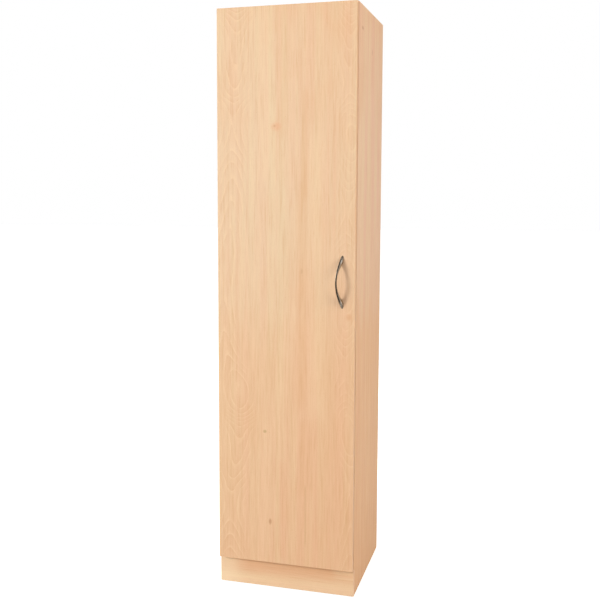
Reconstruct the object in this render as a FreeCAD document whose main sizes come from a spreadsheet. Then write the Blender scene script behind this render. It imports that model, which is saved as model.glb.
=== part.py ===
import FreeCAD, Part
import math
import os
from types import SimpleNamespace
import Sketcher

# A tall kitchen cabinet: a board carcass on a plinth with one full-height door.
# X runs to the right, Y to the back and Z up; the origin is under the middle of the whole, on the floor.

# Driving sizes in millimetres
SIZES = {
    # Carcass
    "cabinet_width": 500,
    "cabinet_height": 2080,
    "carcass_depth": 480,
    "board_thickness": 16,
    "edging_thickness": 1,
    "plinth_height": 100,
    "glide_height": 3,
    "glide_radius": 7.5,
    "glide_rounding": 1,
    "glide_end_distance": 45,
    "nail_radius": 1.2,
    "nail_length": 14,
    # Back panels, their groove and the rails behind them
    "back_thickness": 3,
    "back_groove_depth": 6,
    "back_face_play": 0.3,
    "back_edge_play": 0.5,
    "rail_height": 80,
    "rail_gap": 1.2,
    "strip_wall": 0.8,
    "strip_cover": 12,
    "strip_end_play": 0.5,
    # Shelves and their pins
    "shelf_setback": 20,
    "shelf_rear_gap": 4,
    "shelf_end_play": 1,
    "hole_pitch": 32,
    "hole_line_inset": 37,
    "pin_peg_radius": 2.5,
    "pin_peg_length": 8,
    "pin_collar_radius": 4,
    "pin_collar_thickness": 1.5,
    "pin_tongue_length": 8,
    "pin_tongue_thickness": 3,
    "pin_tongue_width": 7,
    "pin_collar_drop": 0.3,
    # Cam and dowel joints between the boards
    "joint_inset": 60,
    "dowel_offset": 32,
    "dowel_radius": 4,
    "dowel_length": 30,
    "dowel_side_depth": 10,
    "cam_radius": 7.4,
    "cam_depth": 12,
    "cam_reach": 34,
    "cam_slot_margin": 0.6,
    "cam_key_width": 1.6,
    "cam_key_reach": 5,
    "cam_key_depth": 2,
    "bolt_thread_radius": 2.5,
    "bolt_thread_length": 10,
    "bolt_rod_radius": 3,
    "bolt_head_radius": 3.4,
    "bolt_head_length": 5,
    # Plays of screws, pegs and dowels in their holes
    "bore_play": 0.1,
    "bore_end_play": 0.5,
    # Corner blocks behind the plinth
    "block_size": 20,
    "block_height": 46,
    "block_screw_spread": 22,
    # Wall brackets in the top corners, and the wall holes behind them
    "bracket_thickness": 2,
    "bracket_width": 22,
    "bracket_drop": 44,
    "bracket_reach": 34,
    "bracket_bend": 1.5,
    "bracket_screw_inset": 12,
    "wall_hole_radius": 3.5,
    "wall_hole_inset": 44,
    "wall_hole_drop": 28,
    # Door
    "door_thickness": 18,
    "door_gap": 2.5,
    "door_side_reveal": 1,
    "door_top_reveal": 1,
    "door_bottom_reveal": 2,
    "door_edge_rounding": 0.8,
    "bumper_radius": 4,
    "bumper_play": 0.3,
    "bumper_end_distance": 60,
    # Bow handle
    "handle_length": 183,
    "handle_projection": 31,
    "handle_lean": 15,
    "handle_bar_radius": 3.25,
    "handle_foot_width": 14,
    "handle_foot_length": 29,
    "handle_hole_spacing": 160,
    "handle_edge_distance": 46,
    "handle_height": 1134,
    # Hinge: the pin's place in the door, and the cup
    "pivot_inset": 6.5,
    "pivot_depth": 9,
    "hinge_end_distance": 100,
    "cup_radius": 17.5,
    "cup_depth": 13,
    "cup_floor": 1,
    "cup_edge_distance": 3,
    "cup_rim": 1,
    "cup_flange": 1,
    "cup_bore_play": 0.15,
    "cup_well_reach": 14,
    "cup_well_start": 6,
    "cup_well_width": 18,
    "cup_screw_setback": 9.5,
    "cup_screw_spread": 45,
    "cup_ear_radius": 5.5,
    "hinge_pin_radius": 1.1,
    "hinge_pin_length": 14,
    "hinge_pin_play": 0.05,
    "hinge_pin_end_play": 0.1,
    # Hinge: the bent arm
    "neck_thickness": 2.2,
    "neck_width": 7,
    "neck_side_play": 0.3,
    "neck_reach": 15,
    "neck_bend": 2.4,
    "eye_radius": 2.2,
    "eye_play": 0.2,
    "arm_start": 12,
    "arm_flare": 12,
    "arm_length": 54,
    "arm_width": 16,
    "arm_wall": 1.6,
    "arm_flange": 3.4,
    "arm_corner": 3,
    "arm_adjuster_offset": 15.5,
    # Hinge: the mounting plate and the leaf spring
    "plate_wing_thickness": 1.6,
    "plate_wing_width": 13,
    "plate_wing_span": 46,
    "plate_wing_corner": 4,
    "plate_front_reach": 24,
    "plate_rear_reach": 14,
    "plate_side_play": 0.4,
    "plate_screw_spread": 32,
    "spring_thickness": 0.6,
    "spring_width": 6,
    "spring_gap": 0.3,
    "spring_start": 5,
    "spring_end": 26,
    "spring_seat": 5,
    # Screws
    "plate_screw_head_radius": 4.2,
    "plate_screw_head_height": 1.4,
    "plate_screw_radius": 2.5,
    "plate_screw_grip": 10,
    "arm_screw_head_radius": 3.2,
    "arm_screw_head_height": 1.6,
    "arm_screw_radius": 1.6,
    "arm_screw_grip": 4,
    "cup_screw_head_radius": 3.6,
    "cup_screw_head_height": 1.2,
    "cup_screw_radius": 1.75,
    "cup_screw_grip": 11,
    "handle_screw_head_radius": 4.5,
    "handle_screw_head_height": 1.8,
    "handle_screw_radius": 2,
    "handle_screw_grip": 5,
    "board_screw_head_radius": 3.9,
    "board_screw_head_height": 1.5,
    "board_screw_radius": 1.9,
    "board_screw_grip": 11,
    # Clean exit of cuts
    "overrun": 1,
}

# Counts and shares
PIN_HOLES_EACH_WAY = 1
SHELVES_PER_HALF = 2
FIXED_SHELF_SHARE = 0.5
MIDDLE_HINGE_SHARES = (0.375, 0.625)
HANDLE_SECTION_SHARES = (0, 0.35, 0.62, 0.84, 1.04)
HANDLE_OVAL_SHARE = 0.95
RAIL_DOWEL_SHARES = (0.25, 0.75)


class Size:
    """A length with the formula that it comes from, so that objects can be bound to it."""

    def __init__(self, value, formula):
        self.value = float(value)
        self.formula = formula

    def __add__(self, other):
        other = as_size(other)
        return Size(self.value + other.value, f"({self.formula} + {other.formula})")

    def __sub__(self, other):
        other = as_size(other)
        return Size(self.value - other.value, f"({self.formula} - {other.formula})")

    def __mul__(self, factor):
        factor = as_size(factor)
        return Size(self.value * factor.value, f"({self.formula} * {factor.formula})")

    def __truediv__(self, divisor):
        divisor = as_size(divisor)
        return Size(self.value / divisor.value, f"({self.formula} / {divisor.formula})")

    def __radd__(self, other):
        return as_size(other) + self

    def __rsub__(self, other):
        return as_size(other) - self

    def __rmul__(self, factor):
        return as_size(factor) * self

    def __neg__(self):
        return Size(0, "0") - self

    def __float__(self):
        return self.value


def as_size(number):
    """A plain count or share as a size; a negative one is written as a difference."""
    if isinstance(number, Size):
        return number
    text = str(number) if number >= 0 else f"(0 - {-number})"
    return Size(number, text)


def hypotenuse(first, second):
    return Size(math.hypot(first.value, second.value), f"hypot({first.formula}; {second.formula})")


# The document and its sheet of driving sizes
doc = FreeCAD.newDocument("KitchenCabinet")
sheet = doc.addObject("Spreadsheet::Sheet", "Sizes")
for row, (name, number) in enumerate(SIZES.items(), start=1):
    sheet.set(f"A{row}", name)
    sheet.set(f"B{row}", str(number))
    sheet.setAlias(f"B{row}", name)
doc.recompute()
size = SimpleNamespace(**{name: Size(sheet.get(name), f"Sizes.{name}") for name in SIZES})

# Places in the carcass, worked out from the sheet
outer_x = size.cabinet_width / 2
inner_x = outer_x - size.board_thickness
front_y = (size.door_gap + size.door_thickness + size.handle_projection - size.carcass_depth) / 2
back_y = front_y + size.carcass_depth
board_y = front_y + size.edging_thickness
rail_y = back_y - size.board_thickness
back_rear_y = rail_y - size.rail_gap
back_front_y = back_rear_y - size.back_thickness
shelf_rear_y = back_front_y - size.shelf_rear_gap
shelf_front_y = front_y + size.shelf_setback
plinth_rear_y = front_y + size.board_thickness

floor_top_z = size.plinth_height + size.board_thickness
roof_z = size.cabinet_height - size.board_thickness
clear_height = roof_z - floor_top_z
fixed_shelf_z = floor_top_z + (clear_height - size.board_thickness) * FIXED_SHELF_SHARE
back_joint_z = fixed_shelf_z + size.board_thickness / 2

# Places on the door
door_back_y = front_y - size.door_gap
door_front_y = door_back_y - size.door_thickness
door_half_width = outer_x - size.door_side_reveal
door_bottom_z = size.plinth_height + size.door_bottom_reveal
door_top_z = size.cabinet_height - size.door_top_reveal
door_height = door_top_z - door_bottom_z
pivot_x = size.pivot_inset - door_half_width
pivot_y = door_back_y - size.pivot_depth
handle_x = door_half_width - size.handle_edge_distance
hinge_heights = [
    door_bottom_z + size.hinge_end_distance,
    door_bottom_z + door_height * MIDDLE_HINGE_SHARES[0],
    door_bottom_z + door_height * MIDDLE_HINGE_SHARES[1],
    door_top_z - size.hinge_end_distance,
]


def shelf_heights():
    """Undersides of the loose shelves, evenly spaced below and above the fixed one."""
    heights = []
    for low, high in ((floor_top_z, fixed_shelf_z), (fixed_shelf_z + size.board_thickness, roof_z)):
        space = (high - low - size.board_thickness * SHELVES_PER_HALF) / (SHELVES_PER_HALF + 1)
        for index in range(SHELVES_PER_HALF):
            heights.append(low + space * (index + 1) + size.board_thickness * index)
    return heights


# Where the peg of a shelf pin is centred under its shelf, and the two lines of peg holes
pin_drop = size.pin_collar_radius + size.pin_collar_drop
hole_lines_y = [front_y + size.hole_line_inset, shelf_rear_y - size.hole_line_inset]

# The two cam joints at each end of a fixed board; each dowel stands further in than its bolt
bolt_lines_y = [front_y + size.joint_inset, shelf_rear_y - size.joint_inset]
dowel_lines_y = [bolt_lines_y[0] + size.dowel_offset, bolt_lines_y[1] - size.dowel_offset]
fixed_board_heights = [size.plinth_height, fixed_shelf_z, roof_z]

# The rails behind the back panels, by name: underside and height
RAILS = {
    "rear_rail_top": (roof_z - size.rail_height, size.rail_height),
    "rear_rail_middle": (back_joint_z - size.rail_height / 2, size.rail_height),
    "rear_rail_bottom": (floor_top_z, size.rail_height),
    "plinth_rear_rail": (size.glide_height, size.plinth_height - size.glide_height),
}
rail_middle_y = back_y - size.board_thickness / 2
wall_hole_z = roof_z - size.wall_hole_drop
wall_holes_x = [size.wall_hole_inset - inner_x, inner_x - size.wall_hole_inset]


def rail_dowel_heights():
    """Two dowels at each end of each rail, a quarter of its height from its edges."""
    return [low + height * share for low, height in RAILS.values() for share in RAIL_DOWEL_SHARES]


# Building blocks
NODES = {}
SKETCH_PLANES = {"x": ("YZ_Plane", 1), "y": ("XZ_Plane", -1), "z": ("XY_Plane", 1)}
FACING_RIGHT = FreeCAD.Rotation(FreeCAD.Vector(0, 1, 0), 90)
FACING = {
    "right": FACING_RIGHT,
    "left": FreeCAD.Rotation(FreeCAD.Vector(0, 0, 1), 180) * FACING_RIGHT,
    "back": FreeCAD.Rotation(FreeCAD.Vector(1, 0, 0), -90),
    "up": FreeCAD.Rotation(),
    "down": FreeCAD.Rotation(FreeCAD.Vector(1, 0, 0), 180),
}


def bind(thing, path, length):
    thing.setExpression(path, as_size(length).formula)


def place(thing, x, y, z):
    bind(thing, "Placement.Base.x", x)
    bind(thing, "Placement.Base.y", y)
    bind(thing, "Placement.Base.z", z)


def part_object(kind, label):
    thing = doc.addObject(kind, label)
    thing.Label = label
    return thing


def new_body(label):
    """A body that becomes a node of the cabinet."""
    body = part_object("PartDesign::Body", label)
    NODES[label] = body
    return body


def form_body(label):
    """A body that is only copied into a group of fasteners."""
    return part_object("PartDesign::Body", label)


def rectangle(low_u, low_v, high_u, high_v):
    return [(low_u, low_v), (high_u, low_v), (high_u, high_v), (low_u, high_v)]


def hold_point(sketch, edge, end, u, v):
    """Bind one point of a sketch to its place from the sketch's origin."""
    for kind, length in (("DistanceX", u), ("DistanceY", v)):
        index = sketch.addConstraint(Sketcher.Constraint(kind, edge, end, float(length)))
        bind(sketch, f"Constraints[{index}]", length)


def draw_corners(sketch, corners):
    first = sketch.GeometryCount
    count = len(corners)
    points = [FreeCAD.Vector(float(u), float(v), 0) for u, v in corners]
    for index in range(count):
        sketch.addGeometry(Part.LineSegment(points[index], points[(index + 1) % count]), False)
    for index, (u, v) in enumerate(corners):
        following = first + (index + 1) % count
        sketch.addConstraint(Sketcher.Constraint("Coincident", first + index, 2, following, 1))
        hold_point(sketch, first + index, 1, u, v)


def draw_circle(sketch, u, v, radius):
    centre = FreeCAD.Vector(float(u), float(v), 0)
    edge = sketch.addGeometry(Part.Circle(centre, FreeCAD.Vector(0, 0, 1), float(radius)), False)
    index = sketch.addConstraint(Sketcher.Constraint("Radius", edge, float(radius)))
    bind(sketch, f"Constraints[{index}]", radius)
    hold_point(sketch, edge, 3, u, v)


def sketch_across(body, axis, level, outlines):
    """Sketch square to an axis at a level: lists of corners are polygons, triples are circles."""
    role, normal = SKETCH_PLANES[axis]
    sketch = body.newObject("Sketcher::SketchObject", f"{body.Label}_sketch")
    plane = next(feature for feature in body.Origin.OriginFeatures if feature.Role == role)
    sketch.AttachmentSupport = [(plane, "")]
    sketch.MapMode = "FlatFace"
    bind(sketch, "AttachmentOffset.Base.z", as_size(level) * normal)
    for outline in outlines:
        if isinstance(outline, tuple):
            draw_circle(sketch, *outline)
        else:
            draw_corners(sketch, outline)
    return sketch


def pad(body, axis, low, high, *outlines):
    """Material between two levels of an axis."""
    feature = body.newObject("PartDesign::Pad", f"{body.Label}_pad")
    feature.Profile = sketch_across(body, axis, low, outlines)
    feature.Reversed = SKETCH_PLANES[axis][1] < 0
    bind(feature, "Length", high - low)
    return feature


def pocket(body, axis, low, high, *outlines):
    """A recess or a row of holes between two levels of an axis."""
    feature = body.newObject("PartDesign::Pocket", f"{body.Label}_pocket")
    feature.Profile = sketch_across(body, axis, low, outlines)
    feature.Reversed = SKETCH_PLANES[axis][1] > 0
    bind(feature, "Length", high - low)
    return feature


def turned(body, corners):
    """A turned form: corners are radius and height, and the axis is vertical."""
    feature = body.newObject("PartDesign::Revolution", f"{body.Label}_turned")
    sketch = sketch_across(body, "y", Size(0, "0"), [corners])
    feature.Profile = sketch
    feature.ReferenceAxis = (sketch, ["V_Axis"])
    feature.Angle = 360
    return feature


def rounded(body, radius, chosen):
    """Round the body's edges whose middle and direction pass a test."""
    doc.recompute()
    base = body.Tip
    names = []
    for index, edge in enumerate(base.Shape.Edges, start=1):
        if len(edge.Vertexes) == 2:
            start, end = edge.Vertexes[0].Point, edge.Vertexes[1].Point
            if chosen((start + end) / 2, (end - start).normalize()):
                names.append(f"Edge{index}")
    feature = body.newObject("PartDesign::Fillet", f"{body.Label}_rounding")
    feature.Base = (base, names)
    bind(feature, "Radius", radius)
    return feature


def near(number, length):
    return abs(number - float(length)) < 0.001 * float(size.board_thickness)


def strip(label, low, high):
    """A plain strip between two corners, given as three lengths each."""
    box = part_object("Part::Box", label)
    for name, start, end in zip(("Length", "Width", "Height"), low, high):
        bind(box, name, end - start)
    place(box, *low)
    return box


def group(label, members):
    """A node of several separate solids."""
    compound = part_object("Part::Compound", label)
    compound.Links = members
    NODES[label] = compound
    return compound


def copies(label, form, places):
    """A node of copies of one form; each place is three lengths and the way that it faces."""
    links = []
    for index, (x, y, z, facing) in enumerate(places, start=1):
        link = doc.addObject("App::Link", f"{label}_{index}")
        link.LinkedObject = form
        link.Placement = FreeCAD.Placement(FreeCAD.Vector(), FACING[facing])
        place(link, x, y, z)
        links.append(link)
    return group(label, links)


def screw_form(kind, passes):
    """A screw with a flat head, whose shank passes some material and grips the next."""
    head_radius = getattr(size, f"{kind}_screw_head_radius")
    head_height = getattr(size, f"{kind}_screw_head_height")
    radius = getattr(size, f"{kind}_screw_radius")
    length = passes + getattr(size, f"{kind}_screw_grip")
    body = form_body(f"{kind}_screw_form_{len(doc.Objects)}")
    turned(body, [
        (0, -length),
        (radius, -length),
        (radius, 0),
        (head_radius, 0),
        (head_radius, head_height),
        (0, head_height),
    ])
    return body


def bore(radius):
    """Radius of the hole for a peg, dowel or screw of a radius."""
    return radius + size.bore_play


# Carcass boards
def side_panel(label, side):
    """Side panel down to its glides, notched for the plinth; side is -1 on the left, 1 on the right."""
    face = inner_x * side
    middle = (inner_x + size.board_thickness / 2) * side

    def into(depth):
        return (face - depth, face) if side < 0 else (face, face + depth)

    body = new_body(label)
    pad(body, "x", *into(size.board_thickness), [
        (board_y, size.plinth_height),
        (board_y, size.cabinet_height),
        (back_y, size.cabinet_height),
        (back_y, size.glide_height),
        (plinth_rear_y, size.glide_height),
        (plinth_rear_y, size.plinth_height),
    ])
    pocket(body, "x", *into(size.back_groove_depth), rectangle(
        back_front_y - size.back_face_play,
        floor_top_z - size.back_groove_depth,
        back_rear_y + size.back_face_play,
        roof_z + size.back_groove_depth,
    ))
    pegs = []
    for shelf_z in shelf_heights():
        for step in range(-PIN_HOLES_EACH_WAY, PIN_HOLES_EACH_WAY + 1):
            height = shelf_z - pin_drop + size.hole_pitch * step
            pegs += [(y, height, bore(size.pin_peg_radius)) for y in hole_lines_y]
    pocket(body, "x", *into(size.pin_peg_length + size.bore_end_play), *pegs)
    dowels = [(rail_middle_y, height, bore(size.dowel_radius)) for height in rail_dowel_heights()]
    bolts = []
    for board_z in fixed_board_heights:
        joint_z = board_z + size.board_thickness / 2
        dowels += [(y, joint_z, bore(size.dowel_radius)) for y in dowel_lines_y]
        bolts += [(y, joint_z, bore(size.bolt_thread_radius)) for y in bolt_lines_y]
    pocket(body, "x", *into(size.dowel_side_depth + size.bore_end_play), *dowels)
    pocket(body, "x", *into(size.bolt_thread_length + size.bore_end_play), *bolts)
    screws = [(block_middle_y, block_screws_z[1], bore(size.board_screw_radius))]
    pocket(body, "x", *into(size.board_screw_grip + size.bore_end_play), *screws)
    if side < 0:
        plates = []
        for hinge_z in hinge_heights:
            for spread in (-size.plate_screw_spread / 2, size.plate_screw_spread / 2):
                plates.append((hole_lines_y[0], hinge_z + spread, bore(size.plate_screw_radius)))
        pocket(body, "x", *into(size.plate_screw_grip + size.bore_end_play), *plates)
    nails = [(middle, y, bore(size.nail_radius)) for y in glide_lines_y]
    nail_top = size.glide_height + size.nail_length + size.bore_end_play
    pocket(body, "z", size.glide_height, nail_top, *nails)
    return body


def fixed_board(label, low_z, rear_y, groove=None):
    """Board between the sides, bored from below for its cams and from its ends for bolts and dowels."""
    high_z = low_z + size.board_thickness
    joint_z = low_z + size.board_thickness / 2
    cam_x = inner_x - size.cam_reach
    body = new_body(label)
    pad(body, "z", low_z, high_z, rectangle(-inner_x, board_y, inner_x, rear_y))
    cams = [(x, y, bore(size.cam_radius)) for x in (-cam_x, cam_x) for y in bolt_lines_y]
    pocket(body, "z", low_z, low_z + size.cam_depth + size.bore_end_play, *cams)
    bolts = [(y, joint_z, bore(size.bolt_head_radius)) for y in bolt_lines_y]
    dowels = [(y, joint_z, bore(size.dowel_radius)) for y in dowel_lines_y]
    dowel_depth = size.dowel_length - size.dowel_side_depth + size.bore_end_play
    for depth, holes in ((size.cam_reach, bolts), (dowel_depth, dowels)):
        pocket(body, "x", -inner_x, -inner_x + depth, *holes)
        pocket(body, "x", inner_x - depth, inner_x, *holes)
    groove_y = (back_front_y - size.back_face_play, back_rear_y + size.back_face_play)
    if groove == "above":
        pocket(body, "z", high_z - size.back_groove_depth, high_z,
               rectangle(-inner_x, groove_y[0], inner_x, groove_y[1]))
    if groove == "below":
        pocket(body, "z", low_z, low_z + size.back_groove_depth,
               rectangle(-inner_x, groove_y[0], inner_x, groove_y[1]))
        screws = [(x, bracket_screw_y, bore(size.board_screw_radius)) for x in wall_holes_x]
        pocket(body, "z", low_z, low_z + size.board_screw_grip + size.bore_end_play, *screws)
    return body


def loose_shelf(label, low_z):
    half = inner_x - size.shelf_end_play
    body = new_body(label)
    pad(body, "z", low_z, low_z + size.board_thickness,
        rectangle(-half, shelf_front_y + size.edging_thickness, half, shelf_rear_y))
    return body


# Back panels and rails
def back_panel(label, low_z, high_z, wall_holes=False):
    half = inner_x + size.back_groove_depth - size.back_edge_play
    body = new_body(label)
    pad(body, "y", back_front_y, back_rear_y, rectangle(-half, low_z, half, high_z))
    if wall_holes:
        holes = [(x, wall_hole_z, size.wall_hole_radius) for x in wall_holes_x]
        pocket(body, "y", back_front_y, back_rear_y, *holes)
    return body


def back_joint_strip():
    """H-section strip that joins the two back panels behind the fixed shelf."""
    front = back_front_y - size.strip_wall
    rear = back_rear_y + size.strip_wall
    low = back_joint_z - size.strip_cover
    high = back_joint_z + size.strip_cover
    web_low = back_joint_z - size.strip_wall / 2
    web_high = back_joint_z + size.strip_wall / 2
    half = inner_x - size.strip_end_play
    body = new_body("back_joint_strip")
    pad(body, "x", -half, half, [
        (front, low), (back_front_y, low), (back_front_y, web_low), (back_rear_y, web_low),
        (back_rear_y, low), (rear, low), (rear, high), (back_rear_y, high),
        (back_rear_y, web_high), (back_front_y, web_high), (back_front_y, high), (front, high),
    ])
    return body


def rear_rail(label, low_z, height):
    body = new_body(label)
    pad(body, "y", rail_y, back_y, rectangle(-inner_x, low_z, inner_x, low_z + height))
    depth = size.dowel_length - size.dowel_side_depth + size.bore_end_play
    holes = [(rail_middle_y, low_z + height * share, bore(size.dowel_radius)) for share in RAIL_DOWEL_SHARES]
    pocket(body, "x", -inner_x, -inner_x + depth, *holes)
    pocket(body, "x", inner_x - depth, inner_x, *holes)
    if label == "rear_rail_top":
        walls = [(x, wall_hole_z, size.wall_hole_radius) for x in wall_holes_x]
        pocket(body, "y", rail_y, back_y, *walls)
    return body


# Plinth, glides and edging
block_middle_y = plinth_rear_y + size.block_size / 2
block_middle_z = (size.glide_height + size.plinth_height) / 2
block_screws_z = [
    block_middle_z - size.block_screw_spread / 2,
    block_middle_z + size.block_screw_spread / 2,
]
glide_lines_y = [plinth_rear_y + size.glide_end_distance, back_y - size.glide_end_distance]
bracket_screw_y = back_front_y - size.bracket_reach + size.bracket_screw_inset


def plinth_board():
    half = outer_x - size.edging_thickness
    block_x = inner_x - size.block_size / 2
    body = new_body("plinth_board")
    pad(body, "y", front_y, plinth_rear_y, rectangle(-half, size.glide_height, half, size.plinth_height))
    holes = [(x, block_screws_z[0], bore(size.board_screw_radius)) for x in (-block_x, block_x)]
    depth = size.board_screw_grip + size.bore_end_play
    pocket(body, "y", plinth_rear_y - depth, plinth_rear_y, *holes)
    return body


def plinth_blocks():
    """A block in each corner, screwed to the plinth below and to the side panel above."""
    low_z = block_middle_z - size.block_height / 2
    high_z = block_middle_z + size.block_height / 2
    rear_y = plinth_rear_y + size.block_size
    hole = bore(size.board_screw_radius)
    blocks = []
    for name, low_x in (("left", -inner_x), ("right", inner_x - size.block_size)):
        high_x = low_x + size.block_size
        body = form_body(f"plinth_block_{name}")
        pad(body, "z", low_z, high_z, rectangle(low_x, plinth_rear_y, high_x, rear_y))
        pocket(body, "y", plinth_rear_y, rear_y, (low_x + size.block_size / 2, block_screws_z[0], hole))
        pocket(body, "x", low_x, high_x, (block_middle_y, block_screws_z[1], hole))
        blocks.append(body)
    group("plinth_blocks", blocks)
    form = screw_form("board", size.block_size)
    face_x = inner_x - size.block_size
    block_x = inner_x - size.block_size / 2
    copies("plinth_screws", form, [
        (-block_x, rear_y, block_screws_z[0], "back"),
        (block_x, rear_y, block_screws_z[0], "back"),
        (-face_x, block_middle_y, block_screws_z[1], "right"),
        (face_x, block_middle_y, block_screws_z[1], "left"),
    ])


def foot_glides():
    """Nail-on glides under the side panels; they carry the cabinet on the floor."""
    form = form_body("foot_glide_form")
    top = size.glide_height
    turned(form, [
        (0, 0),
        (size.glide_radius - size.glide_rounding, 0),
        (size.glide_radius, size.glide_rounding),
        (size.glide_radius, top),
        (size.nail_radius, top),
        (size.nail_radius, top + size.nail_length),
        (0, top + size.nail_length),
    ])
    middle = inner_x + size.board_thickness / 2
    copies("foot_glides", form, [(x, y, 0, "up") for x in (-middle, middle) for y in glide_lines_y])


def edging():
    """Edge bands on the front of the boards, on the loose shelves and on the plinth's ends."""
    top = size.cabinet_height
    fronts = [
        strip("edging_left", (-outer_x, front_y, size.plinth_height), (-inner_x, board_y, top)),
        strip("edging_right", (inner_x, front_y, size.plinth_height), (outer_x, board_y, top)),
    ]
    for index, low_z in enumerate(fixed_board_heights, start=1):
        high_z = low_z + size.board_thickness
        fronts.append(strip(f"edging_board_{index}", (-inner_x, front_y, low_z), (inner_x, board_y, high_z)))
    group("front_edging", fronts)
    half = inner_x - size.shelf_end_play
    rear_y = shelf_front_y + size.edging_thickness
    shelves = []
    for index, low_z in enumerate(shelf_heights(), start=1):
        high_z = low_z + size.board_thickness
        shelves.append(strip(f"edging_shelf_{index}", (-half, shelf_front_y, low_z), (half, rear_y, high_z)))
    group("shelf_edging", shelves)
    end_x = outer_x - size.edging_thickness
    low_z, high_z = size.glide_height, size.plinth_height
    group("plinth_edging", [
        strip("edging_plinth_left", (-outer_x, front_y, low_z), (-end_x, plinth_rear_y, high_z)),
        strip("edging_plinth_right", (end_x, front_y, low_z), (outer_x, plinth_rear_y, high_z)),
    ])


# Fittings of the carcass
def shelf_pins():
    """Steel pins: a peg in the side panel, a collar on its face and a flat tongue under the shelf."""
    form = form_body("shelf_pin_form")
    collar = size.pin_collar_thickness
    tongue_top = -pin_drop
    pad(form, "z", -size.pin_peg_length, size.pin_collar_thickness, (0, 0, size.pin_peg_radius))
    pad(form, "z", Size(0, "0"), collar, (0, 0, size.pin_collar_radius))
    half = size.pin_tongue_width / 2
    pad(form, "z", Size(0, "0"), collar + size.pin_tongue_length,
        rectangle(tongue_top, -half, tongue_top + size.pin_tongue_thickness, half))
    places = []
    for low_z in shelf_heights():
        for y in hole_lines_y:
            places.append((-inner_x, y, low_z - pin_drop, "right"))
            places.append((inner_x, y, low_z - pin_drop, "left"))
    copies("shelf_pins", form, places)


def cam_joints():
    """Cams in the boards, the bolts that they draw in, and the dowels beside them."""
    joint = size.board_thickness / 2
    gap = size.bolt_head_radius + size.cam_slot_margin
    cam = form_body("cam_lock_form")
    pad(cam, "z", Size(0, "0"), size.cam_depth, (0, 0, size.cam_radius))
    pocket(cam, "z", joint - gap, size.cam_depth,
           rectangle(-gap, -gap, size.cam_radius + size.overrun, gap))
    key = size.cam_key_width / 2
    pocket(cam, "z", Size(0, "0"), size.cam_key_depth,
           rectangle(-size.cam_key_reach, -key, size.cam_key_reach, key))
    bolt = form_body("cam_bolt_form")
    head = size.cam_reach - size.bolt_head_length / 2
    turned(bolt, [
        (0, -size.bolt_thread_length),
        (size.bolt_thread_radius, -size.bolt_thread_length),
        (size.bolt_thread_radius, 0),
        (size.bolt_rod_radius, 0),
        (size.bolt_rod_radius, head),
        (size.bolt_head_radius, head),
        (size.bolt_head_radius, head + size.bolt_head_length),
        (0, head + size.bolt_head_length),
    ])
    dowel = form_body("dowel_form")
    far = size.dowel_length - size.dowel_side_depth
    pad(dowel, "z", -size.dowel_side_depth, far, (0, 0, size.dowel_radius))
    cams, bolts, dowels = [], [], []
    cam_x = inner_x - size.cam_reach
    for low_z in fixed_board_heights:
        for y in bolt_lines_y:
            cams += [(-cam_x, y, low_z), (cam_x, y, low_z)]
            bolts += [(-inner_x, y, low_z + joint, "right"), (inner_x, y, low_z + joint, "left")]
        for y in dowel_lines_y:
            dowels += [(-inner_x, y, low_z + joint, "right"), (inner_x, y, low_z + joint, "left")]
    for height in rail_dowel_heights():
        dowels += [(-inner_x, rail_middle_y, height, "right"), (inner_x, rail_middle_y, height, "left")]
    # The cams' slots open towards the ends of the board
    members = []
    for index, (x, y, z) in enumerate(cams, start=1):
        link = doc.addObject("App::Link", f"cam_lock_{index}")
        link.LinkedObject = cam
        turn = 180 if float(x) < 0 else 0
        link.Placement = FreeCAD.Placement(FreeCAD.Vector(), FreeCAD.Rotation(FreeCAD.Vector(0, 0, 1), turn))
        place(link, x, y, z)
        members.append(link)
    group("cam_locks", members)
    copies("cam_bolts", bolt, bolts)
    copies("dowels", dowel, dowels)


def wall_brackets():
    """Steel angles in the top corners, screwed up into the top panel and holed for the wall screws."""
    form = form_body("wall_bracket_form")
    thick = size.bracket_thickness
    half = size.bracket_width / 2
    pad(form, "x", -half, half, [
        (0, 0),
        (-size.bracket_reach, 0),
        (-size.bracket_reach, -thick),
        (-thick, -thick),
        (-thick, -size.bracket_drop),
        (0, -size.bracket_drop),
    ])
    rounded(form, size.bracket_bend,
            lambda middle, way: abs(way.x) > 0.9 and near(middle.y, -thick) and near(middle.z, -thick))
    pocket(form, "y", -thick, Size(0, "0"), (0, -size.wall_hole_drop, size.wall_hole_radius))
    screw_y = size.bracket_screw_inset - size.bracket_reach
    pocket(form, "z", -thick, Size(0, "0"), (0, screw_y, bore(size.board_screw_radius)))
    copies("wall_brackets", form, [(x, back_front_y, roof_z, "up") for x in wall_holes_x])
    screw = screw_form("board", thick)
    copies("bracket_screws", screw, [(x, bracket_screw_y, roof_z - thick, "down") for x in wall_holes_x])


# Door
def door_panel():
    half = door_half_width - size.edging_thickness
    body = new_body("door_panel")
    pad(body, "y", door_front_y, door_back_y, rectangle(
        -half, door_bottom_z + size.edging_thickness, half, door_top_z - size.edging_thickness))
    cups = []
    pilots = []
    cup_x = pivot_x + cup_centre
    for hinge_z in hinge_heights:
        cups.append((cup_x, hinge_z, size.cup_radius + size.cup_bore_play))
        for spread in (-size.cup_screw_spread / 2, size.cup_screw_spread / 2):
            pilots.append((cup_x + size.cup_screw_setback, hinge_z + spread, bore(size.cup_screw_radius)))
    pocket(body, "y", door_back_y - size.cup_depth - size.cup_bore_play, door_back_y, *cups)
    pocket(body, "y", door_back_y - size.cup_screw_grip - size.bore_end_play, door_back_y, *pilots)
    screws = [(handle_x, z, bore(size.handle_screw_radius)) for z in handle_holes_z]
    pocket(body, "y", door_front_y, door_back_y, *screws)
    return body


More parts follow.
